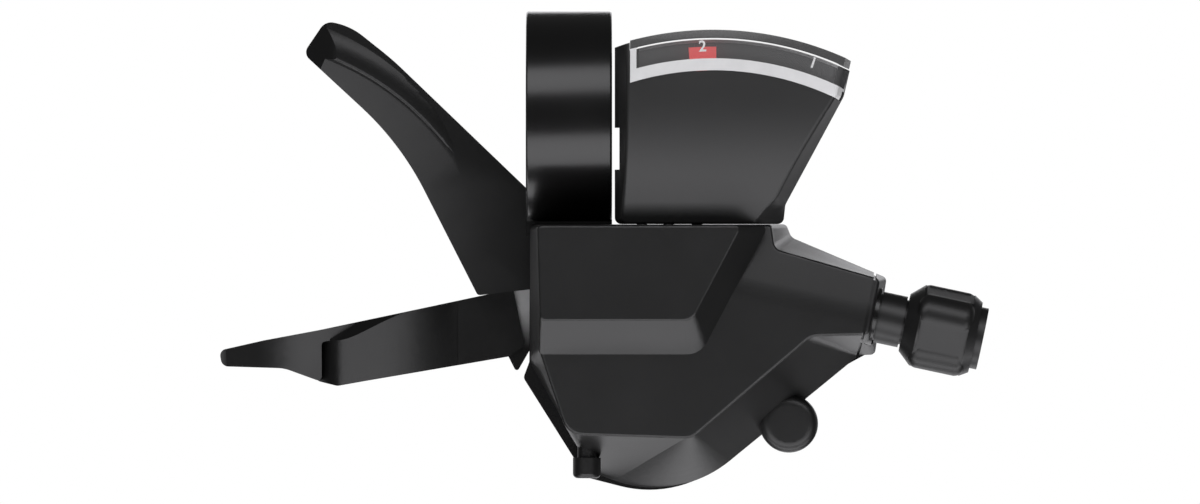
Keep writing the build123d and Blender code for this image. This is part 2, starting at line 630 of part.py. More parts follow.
# Display housing with the cheek beside the lens
fan = fan_shape(0)
fan = fillet(fan.faces().sort_by(Axis.Y)[0].edges(), FAN_EDGE)
rear_wall_front = FAN_BACK - FAN_WALL
housing = fan & peg(NEEDLE_PIVOT, LENS_INNER - RUNNING_FIT, FAN_BACK, FAN_FACE_DEPTH)
housing -= fan_shape(FAN_WALL) & block((-FAR, -FAR, -FAR), (FAR, rear_wall_front, FAR))
housing += fan & peg(NEEDLE_PIVOT, LENS_OUTER - LENS_WALL - GAP, FAN_BACK, rear_wall_front)
cheek = fan & peg(NEEDLE_PIVOT, CHEEK_RADIUS, FAN_BACK, FAN_FACE_DEPTH)
housing += cheek - from_left(LENS_LEFT - RUNNING_FIT)
for x in DISPLAY_SCREWS:
    housing += fan & rod(x, DISPLAY_SCREW_DEPTH, DISPLAY_BOSS_RADIUS, FAN_BOTTOM, tack_top)
    housing -= rod(x, DISPLAY_SCREW_DEPTH, DISPLAY_SCREW_RADIUS, FAN_BOTTOM, tack_top)
housing -= needle_slot
housing -= block((0, -FAR, SLIT_LOW), (SLIT_RIGHT, FAR, SLIT_HIGH))
export_step(housing, "parts/display_housing.step")

# Display screws, entered from inside the cover
tacks = Part()
for x in DISPLAY_SCREWS:
    tacks += rod(x, DISPLAY_SCREW_DEPTH, DISPLAY_SCREW_RADIUS, tack_seat, tack_top)
    tacks += rod(x, DISPLAY_SCREW_DEPTH, DISPLAY_SCREW_HEAD, tack_seat - DISPLAY_SCREW_HEAD_HEIGHT, tack_seat)
export_step(tacks, "parts/display_screws.step")

# Lens, open at the back, and the dial behind it
lens = fan & ring(LENS_OUTER, LENS_INNER, rear_wall_front, FAN_FACE_DEPTH) & from_left(LENS_LEFT)
lens_hollow = fan_shape(LENS_FRONT_WALL) & from_left(LENS_LEFT + LENS_WALL)
lens -= lens_hollow & ring(LENS_OUTER - LENS_WALL, LENS_INNER + LENS_WALL, FAN_BACK, FAN_FACE_DEPTH)
lens -= peg(NEEDLE_PIVOT, LENS_INNER + LENS_WALL + GAP, FAN_BACK, NEEDLE_FRONT - GAP)
export_step(lens, "parts/display_lens.step")
dial = fan_shape(LENS_FRONT_WALL + GAP) & from_left(LENS_LEFT + LENS_WALL + GAP)
dial_outer = LENS_OUTER - LENS_WALL - GAP
dial_inner = LENS_INNER + LENS_WALL + GAP
dial &= ring(dial_outer, dial_inner, rear_wall_front, rear_wall_front - DIAL_THICKNESS)
export_step(dial, "parts/dial_plate.step")

# Indicator needle with its cam follower
knee = polar(NEEDLE_PIVOT, NEEDLE_KNEE, 90 - NEEDLE_REST + NEEDLE_LEAN)
tip = polar(NEEDLE_PIVOT, MARKER_LOW, 90 - NEEDLE_REST)
strip = trace(Polyline(NEEDLE_PIVOT, knee, tip), NEEDLE_WIDTH)
needle_back = NEEDLE_FRONT + NEEDLE_THICKNESS
low_back = NEEDLE_LOW_FRONT + NEEDLE_THICKNESS
side_view = [(NEEDLE_LOW_FRONT, -FAR), (NEEDLE_LOW_FRONT, NEEDLE_JOG_LOW), (NEEDLE_FRONT, NEEDLE_JOG_HIGH),
             (NEEDLE_FRONT, FAR), (needle_back, FAR), (needle_back, NEEDLE_JOG_HIGH),
             (low_back, NEEDLE_JOG_LOW), (low_back, -FAR)]
ribbon = extrude(Plane.YZ * make_face(Polyline(*side_view, close=True)), amount=FAR)
wedge = [NEEDLE_PIVOT, polar(NEEDLE_PIVOT, FAR, 90 - NEEDLE_REST + MARKER_HALF_ANGLE),
         polar(NEEDLE_PIVOT, FAR, 90 - NEEDLE_REST - MARKER_HALF_ANGLE)]
marker = slab(make_face(Polyline(*wedge, close=True)), needle_back, NEEDLE_FRONT)
marker &= ring(MARKER_HIGH, MARKER_LOW - GAP, needle_back, NEEDLE_FRONT)
finger = link(NEEDLE_PIVOT, NEEDLE_HUB_RADIUS / 2, FOLLOWER, 2 * FOLLOWER_RADIUS)
needle = slab(strip, FAR, -FAR) & ribbon
needle_hub = Pos(*NEEDLE_PIVOT) * Circle(NEEDLE_HUB_RADIUS) + finger
needle += marker + slab(needle_hub, NEEDLE_HUB_BACK, NEEDLE_LOW_FRONT)
needle += peg(FOLLOWER, FOLLOWER_RADIUS, FOLLOWER_END, NEEDLE_HUB_BACK)
needle -= through(NEEDLE_PIVOT, PIVOT_RADIUS + RUNNING_FIT)
export_step(needle, "parts/indicator_needle.step")
clip = tube(NEEDLE_PIVOT, CLIP_RADIUS, PIVOT_RADIUS, CLIP_BACK, NEEDLE_HUB_BACK + GAP)
export_step(clip, "parts/needle_clip.step")

# Cable spool with the cam groove that drives the needle at a constant ratio
spool = peg(SPOOL, FLANGE_RADIUS, SPOOL_BACK, SPOOL_FRONT)
half_groove = GROOVE_WIDTH / 2
spool -= tube(SPOOL, FAR, CABLE_RADIUS - half_groove, CABLE_DEPTH + half_groove, CABLE_DEPTH - half_groove)
spool += peg(SPOOL, HUB_RADIUS, HUB_BACK, SPOOL_BACK)
spool -= through(SPOOL, AXLE_RADIUS + RUNNING_FIT)
cam_points = []
for step in range(CAM_STEPS + 1):
    turn = -CAM_OVERRUN + (SPOOL_TRAVEL + 2 * CAM_OVERRUN) * step / CAM_STEPS
    pin = clockwise(NEEDLE_PIVOT, FOLLOWER, turn * NEEDLE_TRAVEL / SPOOL_TRAVEL)
    cam_points.append(clockwise(SPOOL, pin, -turn))
cam_groove = trace(Spline(*cam_points), 2 * FOLLOWER_RADIUS + 2 * GAP)
spool -= slab(cam_groove, SPOOL_FRONT + CAM_DEPTH, SPOOL_FRONT)
spool -= peg(polar(SPOOL, CABLE_RADIUS, NIPPLE_ANGLE), NIPPLE_RADIUS, CABLE_DEPTH + GROOVE_WIDTH, SPOOL_FRONT)
for index in range(SPOOL_WINDOWS):
    window_angle = NIPPLE_ANGLE + (index + 1) * SPOOL_WINDOW_STEP
    spool -= through(polar(SPOOL, SPOOL_WINDOW_PITCH, window_angle), SPOOL_WINDOW_RADIUS)
export_step(spool, "parts/cable_spool.step")

# Ratchet plate
tooth_points = []
for index in range(TEETH):
    tooth_angle = RATCHET_START + index * SPOOL_TRAVEL
    tooth_points.append(polar(SPOOL, RATCHET_ROOT, tooth_angle))
    tooth_points.append(polar(SPOOL, RATCHET_TIP, tooth_angle))
ratchet = make_face(Polyline(*tooth_points, close=True)) - Pos(*SPOOL) * Circle(HUB_RADIUS)
export_step(slab(ratchet, RATCHET_BACK, SPOOL_BACK), "parts/ratchet_plate.step")

# Spool axle, washer and return spring
axle = peg(SPOOL, AXLE_RADIUS, FLOOR_BACK, AXLE_HEAD_FRONT)
axle += peg(SPOOL, AXLE_HEAD_RADIUS, SPOOL_FRONT - GAP, AXLE_HEAD_FRONT)
axle += peg(SPOOL, AXLE_FLANGE_RADIUS, AXLE_FLANGE_BACK, FLOOR_BACK)
export_step(axle, "parts/spool_axle.step")
washer_front = HUB_BACK + GAP
washer = tube(SPOOL, HUB_RADIUS, AXLE_RADIUS, washer_front + WASHER_THICKNESS, washer_front)
export_step(washer, "parts/spool_washer.step")
spool_spring = coil(SPOOL, SPOOL_SPRING_RADIUS, SPOOL_SPRING_PITCH, FLOOR_FRONT, RATCHET_BACK)
export_step(spool_spring, "parts/spool_spring.step")

# Lever axle with the feed crank, feed pawl and thumb spring
export_step(peg(LEVER_PIVOT, LEVER_AXLE_RADIUS, LEVER_AXLE_BACK, LEVER_AXLE_FRONT), "parts/lever_axle.step")
feed_pin = polar(LEVER_PIVOT, FEED_PIN_RADIUS, FEED_PIN_ANGLE)
crank = slab(link(LEVER_PIVOT, CRANK_HUB, feed_pin, CRANK_TIP), CRANK_BACK, CRANK_FRONT)
crank = crank - through(LEVER_PIVOT, LEVER_AXLE_RADIUS) - through(feed_pin, FEED_PIN)
export_step(crank, "parts/feed_crank.step")
export_step(peg(feed_pin, FEED_PIN, CRANK_BACK, PAWL_FRONT), "parts/feed_rivet.step")
feed_nose = polar(LEVER_PIVOT, FEED_NOSE_RADIUS, FEED_NOSE_ANGLE)
feed_pawl = slab(link(feed_pin, FEED_PAWL_WIDTH / 2, feed_nose, FEED_NOSE), PAWL_BACK, PAWL_FRONT)
export_step(feed_pawl - through(feed_pin, FEED_PIN + RUNNING_FIT), "parts/feed_pawl.step")
thumb_spring = coil(LEVER_PIVOT, THUMB_SPRING_RADIUS, THUMB_SPRING_PITCH, FLOOR_FRONT, CRANK_BACK)
export_step(thumb_spring, "parts/thumb_spring.step")

# Thumb lever: steel plate and moulded cover with its paddle
plate = slab(rounded(THUMB_PLATE, THUMB_PLATE_CORNERS), THUMB_PLATE_BACK, THUMB_PLATE_FRONT)
plate -= through(LEVER_PIVOT, LEVER_AXLE_RADIUS)
export_step(plate, "parts/thumb_plate.step")
thumb = twisted_face(THUMB_FACE) & upright(THUMB_PLAN, THUMB_PLAN_CORNERS)
brow_run = [left - right for right, left in zip(*THUMB_BROW)]
brow_length = hypot(brow_run[0], brow_run[2])
brow_rise = cos(radians(THUMB_BROW_TILT)) / brow_length
brow_normal = (brow_run[2] * brow_rise, -sin(radians(THUMB_BROW_TILT)), -brow_run[0] * brow_rise)
thumb -= Plane(origin=THUMB_BROW[0], z_dir=brow_normal) * block((-FAR, -FAR, 0), (FAR, FAR, FAR))
thumb += block((THUMB_STEP, THUMB_ROOT_FRONT, -FAR), (0, THUMB_ROOT_BACK, 0))
thumb &= slab(rounded(THUMB_OUTLINE, THUMB_CORNERS), FAR, 0)
paddle = twisted_face(PADDLE_FACE) & upright(PADDLE_PLAN, PADDLE_PLAN_CORNERS)
paddle &= slab(rounded(PADDLE, PADDLE_CORNERS), FAR, 0)
export_step(thumb + paddle - plate, "parts/thumb_cover.step")

# Release lever: falling blade, round bead along its upper edge and lifting tab
outline = slab(rounded(RELEASE_OUTLINE, RELEASE_CORNERS), RELEASE_BACK, 0)
outline &= upright(RELEASE_TIP_PLAN, RELEASE_TIP_CORNERS)
blade_inner = CREASE_RADIUS / 2
blade_low = BLADE_HEIGHT - (CREASE_RADIUS - blade_inner) * tan(radians(BLADE_FALL))
blade_top = [(blade_inner, blade_low), (CREASE_RADIUS, BLADE_HEIGHT), (FAR, BLADE_HEIGHT)]
blade_section = Polyline((blade_inner, -FAR), *blade_top, (FAR, -FAR), close=True)
release = outline & release_turned(make_face(blade_section), BLADE_RUNOUT)
bead_swing = degrees(asin((BEAD_REACH - BEAD_CREST) / BEAD_RADIUS))
bead_middle = (CREASE_RADIUS + BEAD_CREST, BEAD_HEIGHT - BEAD_RADIUS)
bead_top = CenterArc(bead_middle, BEAD_RADIUS, 90 - bead_swing, bead_swing)
shoulder = (CREASE_RADIUS + BEAD_SHOULDER[0], BEAD_HEIGHT - BEAD_SHOULDER[1])
bead_edge = RadiusArc(shoulder, bead_top @ 1, BEAD_SHOULDER_RADIUS)
bead_foot = CREASE_RADIUS + BEAD_FOOT
bead_end = CREASE_RADIUS + BEAD_REACH
bead_inside = (bead_foot, BEAD_HEIGHT - BEAD_DROP)
bead_sides = Polyline(shoulder, bead_inside, (bead_foot, -FAR), (bead_end, -FAR), bead_top @ 0)
release += outline & release_turned(make_face([bead_top, bead_edge, bead_sides]), BEAD_RUNOUT)
tab_spot = polar(LEVER_PIVOT, RELEASE_TAB_RADIUS, RELEASE_TAB_ANGLE)
tab_arm = link(LEVER_PIVOT, RELEASE_HUB, tab_spot, RELEASE_ARM_END)
release += slab(tab_arm, RELEASE_BACK, RELEASE_HUB_FRONT)
release += peg(tab_spot, RELEASE_TAB_PIN, RELEASE_HUB_FRONT, PAWL_FRONT)
release -= through(LEVER_PIVOT, LEVER_AXLE_RADIUS + RUNNING_FIT)
export_step(release, "parts/release_lever.step")
release_spring = coil(LEVER_PIVOT, RELEASE_SPRING_RADIUS, RELEASE_SPRING_PITCH, RELEASE_HUB_FRONT, FLOOR_BACK)
export_step(release_spring, "parts/release_spring.step")

# Lever washer and nut
washer = tube(LEVER_PIVOT, LEVER_WASHER_RADIUS, LEVER_AXLE_RADIUS, THUMB_PLATE_FRONT, LEVER_WASHER_FRONT)
export_step(washer, "parts/lever_washer.step")
nut = Pos(*LEVER_PIVOT) * (RegularPolygon(NUT_ACROSS / 2, 6, major_radius=False) - Circle(LEVER_AXLE_RADIUS))
export_step(slab(nut, NUT_BACK, THUMB_PLATE_BACK), "parts/lever_nut.step")

# Stop pawl, its pin and spring
stop_nose = polar(SPOOL, RATCHET_TIP + GAP, STOP_NOSE_ANGLE)
lift_edge = tab_spot[1] + RELEASE_TAB_PIN + GAP
lift_end = tab_spot[0] - RELEASE_TAB_PIN
half_pawl = STOP_PAWL_WIDTH / 2
pawl_points = [(STOP_PIVOT[0], STOP_PIVOT[1] + half_pawl), (lift_end, lift_edge + STOP_LIFT_ARM),
               (lift_end, lift_edge), (stop_nose[0] - STOP_NOSE_LENGTH, lift_edge), stop_nose,
               (STOP_PIVOT[0], STOP_PIVOT[1] - half_pawl)]
pawl = make_face(Polyline(*pawl_points, close=True)) + Pos(*STOP_PIVOT) * Circle(half_pawl)
pawl = slab(pawl, PAWL_BACK, PAWL_FRONT) - through(STOP_PIVOT, STOP_PIN_RADIUS + RUNNING_FIT)
export_step(pawl, "parts/stop_pawl.step")
stop_head_back = PAWL_FRONT - GAP
pawl_pin = peg(STOP_PIVOT, STOP_PIN_RADIUS, FLOOR_BACK, stop_head_back)
pawl_pin += peg(STOP_PIVOT, STOP_PIN_HEAD, stop_head_back, stop_head_back - STOP_PIN_HEAD_HEIGHT)
export_step(pawl_pin, "parts/stop_pawl_pin.step")
stop_spring = coil(STOP_PIVOT, STOP_SPRING_RADIUS, STOP_SPRING_PITCH, FLOOR_FRONT, PAWL_BACK)
export_step(stop_spring, "parts/stop_pawl_spring.step")

# Adjuster knob with rounded lobes and flats between them
knob = turned([(0, KNOB_NECK_START), (KNOB_NECK_RADIUS, KNOB_NECK_START), (KNOB_BASE_RADIUS, KNOB_BASE_START),
               (KNOB_BASE_RADIUS, KNOB_LENGTH), (KNOB_SHOULDER, KNOB_SHOULDER_END),
               (KNOB_END_RADIUS, KNOB_SHOULDER_END), (KNOB_END_RADIUS, KNOB_END), (0, KNOB_END)])
lobe_step = 360 / KNOB_LOBES
flat_gap = FAR - KNOB_FLAT
for index in range(KNOB_LOBES):
    flat = Pos(KNOB_FLAT + flat_gap / 2, 0, KNOB_LENGTH / 2) * Box(flat_gap, FAR, KNOB_LENGTH)
    knob -= Rot(0, 0, KNOB_LOBE_TURN + (index + 1 / 2) * lobe_step) * flat
lobe = rod(KNOB_RADIUS - KNOB_LOBE_RADIUS, 0, KNOB_LOBE_RADIUS, KNOB_LOBE_START, KNOB_LOBE_END)
lobe = fillet(lobe.edges().filter_by(GeomType.CIRCLE), KNOB_LOBE_EDGE)
for index in range(KNOB_LOBES):
    knob += Rot(0, 0, KNOB_LOBE_TURN + index * lobe_step) * lobe
thread_front = KNOB_END - CASING_DEPTH - CASING_FLOOR
knob -= rod(0, 0, CASING_RADIUS, KNOB_END - CASING_DEPTH, KNOB_END)
knob -= rod(0, 0, THREAD_RADIUS, KNOB_NECK_START, thread_front)
knob -= rod(0, 0, INNER_CABLE_RADIUS, KNOB_NECK_START, KNOB_END)
spigot_end = KNOB_NECK_START + SPIGOT_LENGTH
knob -= rod(0, 0, SPIGOT_RADIUS + GAP, KNOB_NECK_START, spigot_end + GAP)
export_step(along_adjuster(knob), "parts/adjuster_knob.step")

# Adjuster bolt, sleeve and spring
cable_way = rod(0, 0, INNER_CABLE_RADIUS, THREAD_END, thread_front)
adjuster_bolt = rod(0, 0, THREAD_RADIUS, THREAD_END, thread_front) - cable_way
export_step(along_adjuster(adjuster_bolt), "parts/adjuster_bolt.step")
sleeve_front = KNOB_NECK_START - GAP
sleeve_back = ARM_END + GAP
sleeve = rod(0, 0, SLEEVE_RADIUS, sleeve_back, sleeve_front)
sleeve += rod(0, 0, SLEEVE_TAIL_RADIUS, SLEEVE_TAIL, sleeve_back)
sleeve += rod(0, 0, SPIGOT_RADIUS, sleeve_front, spigot_end)
sleeve -= rod(0, 0, THREAD_RADIUS + RUNNING_FIT, SLEEVE_TAIL, spigot_end)
export_step(along_adjuster(sleeve), "parts/adjuster_sleeve.step")
spring_length = SLEEVE_TAIL - COUNTERBORE_END
adjuster_spring = helix(ADJUSTER_SPRING_RADIUS, ADJUSTER_SPRING_WIRE, ADJUSTER_SPRING_PITCH, spring_length)
export_step(along_adjuster(Pos(0, 0, COUNTERBORE_END) * adjuster_spring), "parts/adjuster_spring.step")
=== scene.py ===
import json
import math

import bmesh
import bpy
import numpy as np
from mathutils import Matrix, Vector


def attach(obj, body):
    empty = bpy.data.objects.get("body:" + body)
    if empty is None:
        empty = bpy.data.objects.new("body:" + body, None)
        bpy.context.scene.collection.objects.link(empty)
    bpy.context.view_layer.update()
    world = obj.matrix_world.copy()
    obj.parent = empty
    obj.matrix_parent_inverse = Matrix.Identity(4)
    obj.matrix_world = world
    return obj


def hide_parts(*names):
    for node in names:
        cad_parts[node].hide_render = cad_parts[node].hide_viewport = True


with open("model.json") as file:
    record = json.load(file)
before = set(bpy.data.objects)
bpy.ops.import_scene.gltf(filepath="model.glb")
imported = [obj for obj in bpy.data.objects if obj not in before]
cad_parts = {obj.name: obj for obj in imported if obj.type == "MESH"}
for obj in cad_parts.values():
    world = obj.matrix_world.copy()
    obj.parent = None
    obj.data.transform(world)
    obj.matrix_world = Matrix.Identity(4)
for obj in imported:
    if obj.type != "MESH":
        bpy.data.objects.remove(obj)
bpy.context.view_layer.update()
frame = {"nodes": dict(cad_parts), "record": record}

MM = 0.001
MM_IN_METRE = 1000.0

# Display, in millimetres of the shared frame: radii are taken from the needle's pivot
NEEDLE_PIVOT = (21.7, -35.6)
NEEDLE_TIP_RADIUS = 42.0
PAINTED_EDGE_LIGHT_RADIUS = 44.3
NUMERAL_RADIUS = 46.1
DIAL_RIM_RADIUS = 46.75
CLEAR_EDGE_RADIUS = 47.35
LENS_LEFT_WALL = 10.15
LENS_RIGHT_WALL = 39.9
LENS_RIGHT_SLOPE = 0.36

# Numerals: degrees clockwise from straight up, and sizes in millimetres
NUMERAL_ANGLES = {"2": -2.0, "1": 19.0}
NUMERAL_DEPTH = -18.7
NUMERAL_HEIGHT = 1.65
NUMERAL_FONT_SCALE = 1.4
NUMERAL_THICKNESS = 0.03
NUMERAL_BOLDNESS = 0.04

# Clamp bolt, in millimetres: its knurl leaves a plain collar below and above
BOLT_DEPTH = 19.0
BOLT_END = -8.0
BOLT_HEAD_LOW = 6.5
BOLT_HEAD_TOP = 11.1
KNURL_RADIUS = 4.0
KNURL_RIBS = 36
KNURL_RIB_RADIUS = 0.16
KNURL_COLLAR_LOW = 0.5
KNURL_COLLAR_TOP = 0.9
BOLT_THREAD_RADIUS = 2.36
BOLT_THREAD_LENGTH = 1.1
BOLT_THREAD_PITCH = 0.5
BOLT_THREAD_RIDGE = 0.12
BOLT_THREAD_MARGIN = 0.2

# Lever axle and thumb plate, in millimetres: the plate's last three values place its painted shade, which
# darkens it downwards
LEVER_PIVOT = (1.5, -26.0)
LEVER_AXLE_BACK = 23.6
NUT_BACK = 22.8
AXLE_THREAD_RADIUS = 1.94
AXLE_THREAD_PITCH = 0.35
AXLE_THREAD_RIDGE = 0.07
AXLE_THREAD_MARGIN = 0.15
PLATE_SHADE_LOW = -35.0
PLATE_SHADE_TOP = -27.0
PLATE_SHADE_RAGGED = 0.5

# Sockets of a colour mix: its factor, its two colours and its result
MIX_FACTOR, MIX_FIRST, MIX_SECOND, MIX_RESULT = 0, 6, 7, 2
NOISE_ROUGHNESS = 0.55

# How finely thread ridges and knurl ribs are drawn
TURN_STEPS = 28
RIDGE_SIDES = 6
RIB_SIDES = 8

# Merged copies of the solids: eased edges in millimetres, soft shading angles in degrees
EASED_EDGES = {"release_lever": 0.3, "thumb_cover": 0.3}
EASED_ANGLE = math.radians(24)
FLAT_ANGLE = math.radians(0.5)
MERGE_DISTANCE = 1e-6
SHORTEST_NORMAL = 1e-30
SOFT_ANGLE = 28
SOFT_ANGLES = {"release_lever": 34, "thumb_cover": 30, "adjuster_knob": 32, "top_cover": 24,
               "display_housing": 24, "display_lens": 24}

# Soft lights, in metres: place, width, height and brightness
LIGHT_TARGET = (0.005, 0.0, -0.02)
COOL_WHITE = (0.98, 0.975, 1.0)
SOFT_BOXES = {
    "upper_front_box": ((0.005, -0.53, 0.46), 1.3, 0.36, 2.6),
    "lower_front_box": ((0.005, -0.512, -0.388), 1.3, 0.41, 2.6),
    "under_box": ((0.005, -0.05, -0.6), 1.3, 0.24, 3.0),
    "low_rear_box": ((0.06, 0.40, -0.50), 0.4, 0.3, 1.5),
    "rear_box": ((0.005, 0.9, -0.02), 0.5, 0.3, 0.8),
    "rear_top_box": ((0.005, 0.78, 0.2), 1.3, 0.22, 1.6),
    "rear_low_box": ((0.005, 0.74, -0.32), 0.8, 0.3, 1.0),
    "rear_left_box": ((-0.6, 0.55, 0.0), 0.5, 0.5, 0.35),
    "rear_right_box": ((0.6, 0.55, 0.0), 0.5, 0.5, 0.35),
}

# Studio, in metres: the room is dim for mirrored and scattered light
FLOOR_HALF = 2.2
FLOOR_LEVEL = -0.62
FLOOR_GLOW = 0.8
FLOOR_MIRRORED = 0.16
ROOM_MIRRORED = 0.07
ROOM_SCATTERED = 0.08

# Picture
IMAGE_WIDTH_MM = 181.2
IMAGE_CENTRE = (4.68, -20.4)
CAMERA_DISTANCE = 3.0
CAMERA_PLANE = -5.0
CAMERA_REACH = 20.0
SENSOR_WIDTH = 36.0


def add_node(tree, kind, settings=None, sockets=None):
    """Adds one node: its settings first, then the values or links of its sockets."""
    node = tree.nodes.new(kind)
    for name, value in (settings or {}).items():
        setattr(node, name, value)
    for key, value in (sockets or {}).items():
        source = value.socket if isinstance(value, Value) else value
        if isinstance(source, bpy.types.NodeSocket):
            tree.links.new(source, node.inputs[key])
        else:
            node.inputs[key].default_value = source
    return node


class Value:
    """A shader socket that takes part in Python arithmetic."""

    def __init__(self, finish, socket):
        self.finish = finish
        self.socket = socket

    def _math(self, operation, first, second):
        return self.finish.add("ShaderNodeMath", {"operation": operation}, {0: first, 1: second})

    def __add__(self, other):
        return self._math("ADD", self, other)

    __radd__ = __add__

    def __sub__(self, other):
        return self._math("SUBTRACT", self, other)

    def __rsub__(self, other):
        return self._math("SUBTRACT", other, self)

    def __mul__(self, other):
        return self._math("MULTIPLY", self, other)

    __rmul__ = __mul__

    def __pow__(self, other):
        return self._math("POWER", self, other)

    def __gt__(self, other):
        return self._math("GREATER_THAN", self, other)

    def __lt__(self, other):
        return self._math("LESS_THAN", self, other)

    def __or__(self, other):
        return self._math("MAXIMUM", self, other)

    def __and__(self, other):
        return self._math("MINIMUM", self, other)


class Finish:
    """A material or world being wired up."""

    def __init__(self, owner):
        owner.use_nodes = True
        self.owner = owner
        self.tree = owner.node_tree
        self.tree.nodes.clear()

    def add(self, kind, settings=None, sockets=None, output=0):
        """Adds one node and gives one of its outputs, where it has any."""
        node = add_node(self.tree, kind, settings, sockets)
        return Value(self, node.outputs[output]) if node.outputs else node

    def object_place(self):
        """Object coordinates in metres."""
        return self.add("ShaderNodeTexCoord", output="Object")

    def axes(self, place):
        """The X, Y and Z of a place, in millimetres."""
        parts = self.add("ShaderNodeSeparateXYZ", sockets={0: place}).socket.node
        return [Value(self, socket) * MM_IN_METRE for socket in parts.outputs]

    def noise(self, place, scale, detail=3.0):
        """Fine or coarse cloud pattern from 0 to 1."""
        return self.add("ShaderNodeTexNoise", {"noise_dimensions": "3D"},
                        {"Vector": place, "Scale": scale, "Detail": detail,
                         "Roughness": NOISE_ROUGHNESS})

    def mix(self, factor, first, second):
        """Blend of two colours."""
        return self.add("ShaderNodeMix", {"data_type": "RGBA"},
                        {MIX_FACTOR: factor, MIX_FIRST: first, MIX_SECOND: second}, output=MIX_RESULT)

    def greys(self, pattern, darkest, lightest):
        """Grey that follows a pattern."""
        return self.mix(pattern, grey(darkest), grey(lightest))

    def bump(self, height, strength, distance):
        """Surface normal from a height pattern."""
        return self.add("ShaderNodeBump",
                        sockets={"Strength": strength, "Distance": distance, "Height": height})

    def ray(self, kind):
        """1 for one kind of light path, and 0 for the others."""
        return self.add("ShaderNodeLightPath", output=kind)

    def surface(self, sockets):
        """Closes the material with one Principled shader."""
        shader = self.add("ShaderNodeBsdfPrincipled", sockets=sockets)
        self.add("ShaderNodeOutputMaterial", sockets={0: shader})
        return self.owner


def new_finish(name):
    """Empty material and its object coordinates."""
    finish = Finish(bpy.data.materials.new(name))
    return finish, finish.object_place()


def grey(level):
    """Neutral colour of one level."""
    return (level, level, level, 1.0)


def swing(pattern, reach):
    """Pattern that swings to both sides of zero, over a reach."""
    return (pattern - 0.5) * reach


def rise(pattern, lowest, added):
    """Pattern that adds to a lowest value."""
    return lowest + pattern * added


def moulded_plastic(name, shade, roughness, gloss=1.5):
    """Plastic with a fine spark-eroded grain and faint handling marks."""
    finish, place = new_finish(name)
    grain = finish.noise(place, scale=5200.0, detail=2.0)
    marks = finish.noise(place, scale=70.0, detail=4.0)
    return finish.surface({
        "Base Color": finish.greys(marks, darkest=shade * 0.82, lightest=shade * 1.2),
        "Roughness": roughness + swing(marks, reach=0.10) + swing(grain, reach=0.10),
        "IOR": gloss,
        "Normal": finish.bump(grain, strength=0.25, distance=0.03 * MM)})


def painted_metal(name, shade, roughness):
    """Satin black paint over a casting, with a faint orange-peel ripple."""
    finish, place = new_finish(name)
    ripple = finish.noise(place, scale=900.0, detail=2.0)
    cloud = finish.noise(place, scale=60.0)
    return finish.surface({
        "Base Color": finish.greys(cloud, darkest=shade * 0.8, lightest=shade * 1.2),
        "Roughness": roughness + swing(cloud, reach=0.06),
        "IOR": 1.5,
        "Normal": finish.bump(ripple, strength=0.08, distance=0.04 * MM)})


def drawn_steel(name, shade, roughness):
    """Bare metal with fine streaks along X, as stamping and drawing leave them."""
    finish, place = new_finish(name)
    stretched = finish.add("ShaderNodeMapping", {"vector_type": "TEXTURE"},
                           {"Vector": place, "Scale": (8.0, 1.0, 1.0)})
    streak = finish.noise(stretched, scale=3800.0)
    cloud = finish.noise(place, scale=160.0)
    return finish.surface({
        "Base Color": finish.greys(streak, darkest=shade * 0.8, lightest=shade * 1.12),
        "Roughness": roughness + swing(streak, reach=0.06) + swing(cloud, reach=0.08),
        "Metallic": 1.0,
        "Normal": finish.bump(streak, strength=0.08, distance=0.02 * MM)})


def steel_with_painted_shade(name, shade, roughness):
    """Bare steel with painted shade: it darkens to black towards its lower edge."""
    finish, place = new_finish(name)
    _, _, z = finish.axes(place)
    cloud = finish.noise(place, scale=300.0)
    # Painted shade: black at the low height, bare steel at the top
    plate_shade = finish.add("ShaderNodeMapRange", {"interpolation_type": "SMOOTHSTEP"},
                       {"Value": z + cloud * PLATE_SHADE_RAGGED,
                        "From Min": PLATE_SHADE_LOW, "From Max": PLATE_SHADE_TOP})
    black = grey(0.012)
    bare = finish.greys(cloud, darkest=shade * 0.85, lightest=shade * 1.1)
    return finish.surface({
        "Base Color": finish.mix(plate_shade, black, bare),
        "Roughness": rise(cloud, lowest=roughness, added=0.15),
        "Metallic": 0.6})


def pivot_radius(finish, place):
    """Distance from the needle's pivot in millimetres."""
    x, _, z = finish.axes(place)
    dx = x - NEEDLE_PIVOT[0]
    dz = z - NEEDLE_PIVOT[1]
    return (dx * dx + dz * dz) ** 0.5


def window_lens(name):
    """Clear lens, clear all over: painted light makes its edge pearl white below and at both ends, the
    window is open, and painted shade darkens its outer rim.
    """
    finish, place = new_finish(name)
    x, _, z = finish.axes(place)
    radius = pivot_radius(finish, place)
    cloud = finish.noise(place, scale=400.0)
    ends = (x < LENS_LEFT_WALL) | (x - z * LENS_RIGHT_SLOPE > LENS_RIGHT_WALL)
    # Painted light: a pearl-white band along the lens edge, below and at both ends
    painted_edge_light = (radius < PAINTED_EDGE_LIGHT_RADIUS) | (ends & (radius < CLEAR_EDGE_RADIUS))
    # Painted shade: a dark outer rim on the clear lens
    painted_rim_shade = radius > CLEAR_EDGE_RADIUS
    clear = grey(0.75)
    edge_light_white = finish.greys(cloud, darkest=0.62, lightest=0.76)
    rim_shade_dark = finish.greys(cloud, darkest=0.035, lightest=0.055)
    window_cover, edge_light_adds, rim_shade_adds = 0.07, 0.9, 0.74
    return finish.surface({
        "Base Color": finish.mix(painted_rim_shade, finish.mix(painted_edge_light, clear, edge_light_white), rim_shade_dark),
        "Roughness": rise(cloud, lowest=0.12, added=0.08),
        "IOR": 1.49,
        "Alpha": window_cover + painted_edge_light * edge_light_adds + painted_rim_shade * (rim_shade_adds - painted_edge_light * edge_light_adds)})


